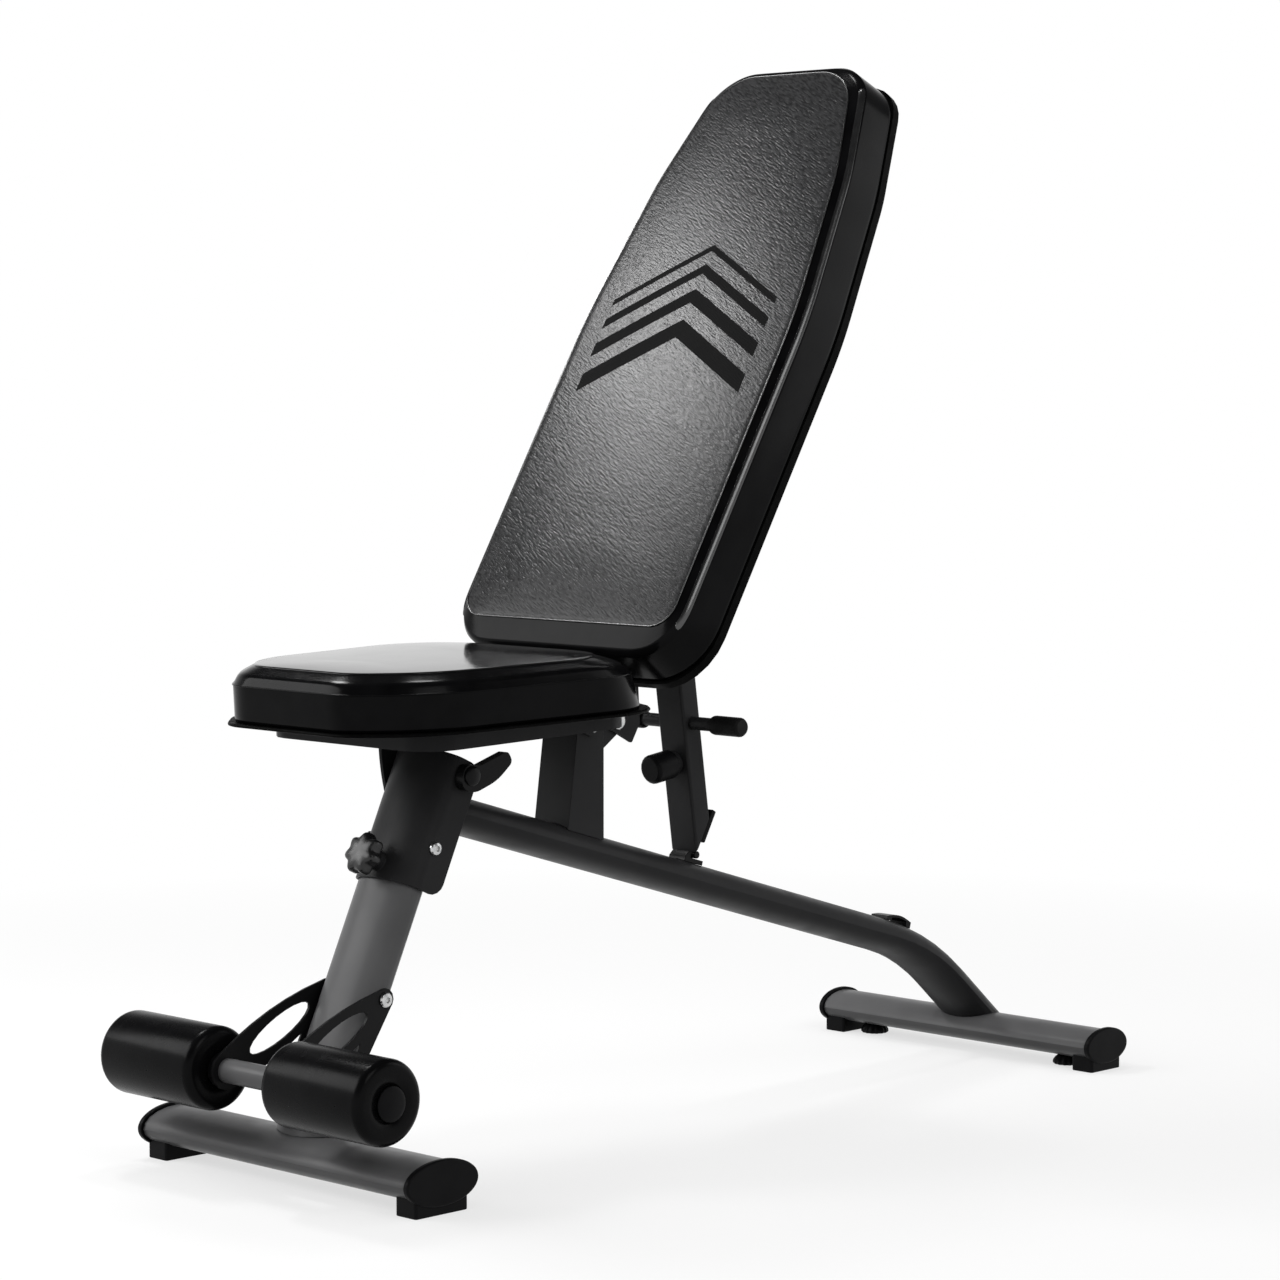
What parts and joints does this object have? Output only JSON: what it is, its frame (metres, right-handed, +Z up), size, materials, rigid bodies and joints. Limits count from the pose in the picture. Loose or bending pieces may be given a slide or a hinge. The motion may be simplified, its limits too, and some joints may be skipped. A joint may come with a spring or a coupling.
{
  "type": "decline sit up bench",
  "caption": "Adjustable exercise bench with a tilting seat, a reclining backrest on a telescopic prop, a sloping oval beam and a folding leg with foam ankle rollers.",
  "frame": {"origin": "on the floor, in the middle of the overall length and width", "axes": "+Z up, +X from the foot rollers to the rear foot, +Y to the right of a person seated facing the rollers"},
  "size_m": [1.137, 0.4, 1.0999],
  "materials": {
    "steel": "dark grey semi-gloss powder coat",
    "leg_steel": "mid grey semi-gloss powder coat",
    "black_steel": "black powder coat",
    "plastic": "black moulded plastic",
    "rubber": "matt black rubber",
    "foam_skin": "gloss black skin on foam",
    "zinc": "bright zinc",
    "black_leather": "black leather-grained coated cloth over foam",
    "grey_leather": "grey leather-grained coated cloth over foam",
    "board": "black covered plywood"
  },
  "bodies": {
    "frame": {"main_beam": "steel", "rear_foot_tube": "leg_steel", "rear_foot_cap_left": "plastic", "rear_foot_cap_right": "plastic", "rear_leveller_left": "plastic", "rear_leveller_right": "plastic", "leg_bracket": "steel", "seat_post": "steel", "hinge_bracket": "steel", "seat_hinge_pin": "zinc", "back_hinge_pin": "zinc", "strut_catch_front": "black_steel", "strut_catch_rear": "black_steel", "leg_pivot_bolt": "zinc", "leg_pivot_nut": "zinc", "seat_clamp_bolt": "black_steel", "seat_clamp_nut": "zinc"},
    "front_leg": {"leg_tube": "leg_steel", "front_foot_tube": "leg_steel", "front_foot_cap_left": "plastic", "front_foot_cap_right": "plastic", "roller_plate_left": "black_steel", "roller_plate_right": "black_steel", "roller_plate_bolt_left": "zinc", "roller_plate_bolt_right": "zinc", "roller_bar": "leg_steel", "roller_collar_left": "plastic", "roller_collar_right": "plastic", "roller_end_plug_left": "plastic", "roller_end_plug_right": "plastic"},
    "roller_left": {"foam_roller_left": "foam_skin"},
    "roller_right": {"foam_roller_right": "foam_skin"},
    "star_knob": {"star_knob": "plastic"},
    "seat": {"seat_pad": "black_leather", "seat_board": "board", "seat_tray": "steel", "seat_sector": "steel", "seat_bolt_front_left": "zinc", "seat_bolt_front_right": "zinc", "seat_bolt_rear_left": "zinc", "seat_bolt_rear_right": "zinc"},
    "seat_lever": {"seat_lever": "black_steel"},
    "backrest": {"back_pad": "grey_leather", "back_board": "board", "back_channel": "steel", "back_bolt_1": "zinc", "back_bolt_2": "zinc", "back_bolt_3": "zinc", "strut_pivot_pin": "zinc"},
    "strut_inner": {"strut_inner": "steel"},
    "strut_sleeve": {"strut_sleeve": "steel", "strut_foot_cap": "plastic", "strut_foot_hook": "black_steel", "handle_bar_left": "steel", "handle_bar_right": "steel", "handle_grip_left": "rubber", "handle_grip_right": "rubber", "pull_pin_collar": "steel"},
    "pull_pin": {"pull_pin": "plastic"}
  },
  "joints": [
    {"name": "leg_fold", "type": "hinge", "parent": "frame", "child": "front_leg", "pos_m": [-0.3375, 0, 0.315], "axis": [0, -1, 0], "range_deg": [0, 80]},
    {"name": "roller_left_turn", "type": "hinge", "parent": "front_leg", "child": "roller_left", "pos_m": [-0.5275, 0, 0.111], "axis": [0, 1, 0], "continuous": true},
    {"name": "roller_right_turn", "type": "hinge", "parent": "front_leg", "child": "roller_right", "pos_m": [-0.5275, 0, 0.111], "axis": [0, 1, 0], "continuous": true},
    {"name": "knob_turn", "type": "hinge", "parent": "frame", "child": "star_knob", "pos_m": [-0.37728, 0, 0.30477], "axis": [-0.9074, 0, 0.4203], "continuous": true},
    {"name": "seat_tilt", "type": "hinge", "parent": "frame", "child": "seat", "pos_m": [-0.1045, 0, 0.42], "axis": [0, 1, 0], "range_deg": [0, 9]},
    {"name": "lever_swing", "type": "hinge", "parent": "frame", "child": "seat_lever", "pos_m": [-0.29795, 0, 0.38374], "axis": [0, 1, 0], "range_deg": [0, 70]},
    {"name": "back_recline", "type": "hinge", "parent": "frame", "child": "backrest", "pos_m": [-0.0655, 0, 0.42], "axis": [0, 1, 0], "range_deg": [0, 59]},
    {"name": "strut_swing", "type": "hinge", "parent": "backrest", "child": "strut_inner", "pos_m": [0.02311, 0, 0.60825], "axis": [0, 1, 0], "range_deg": [-91.75, 0]},
    {"name": "strut_slide", "type": "slide", "parent": "strut_inner", "child": "strut_sleeve", "axis": [-0.1423, 0, 0.9898], "range_m": [0, 0.052]},
    {"name": "pin_pull", "type": "slide", "parent": "strut_sleeve", "child": "pull_pin", "axis": [-0.9898, 0, -0.1423], "range_m": [0, 0.008], "stiffness_N_per_m": 900, "springref_m": -0.006}
  ],
  "couplings": [
    {"joint": "strut_swing", "follows": "back_recline", "ratio": -1.5544}
  ]
}
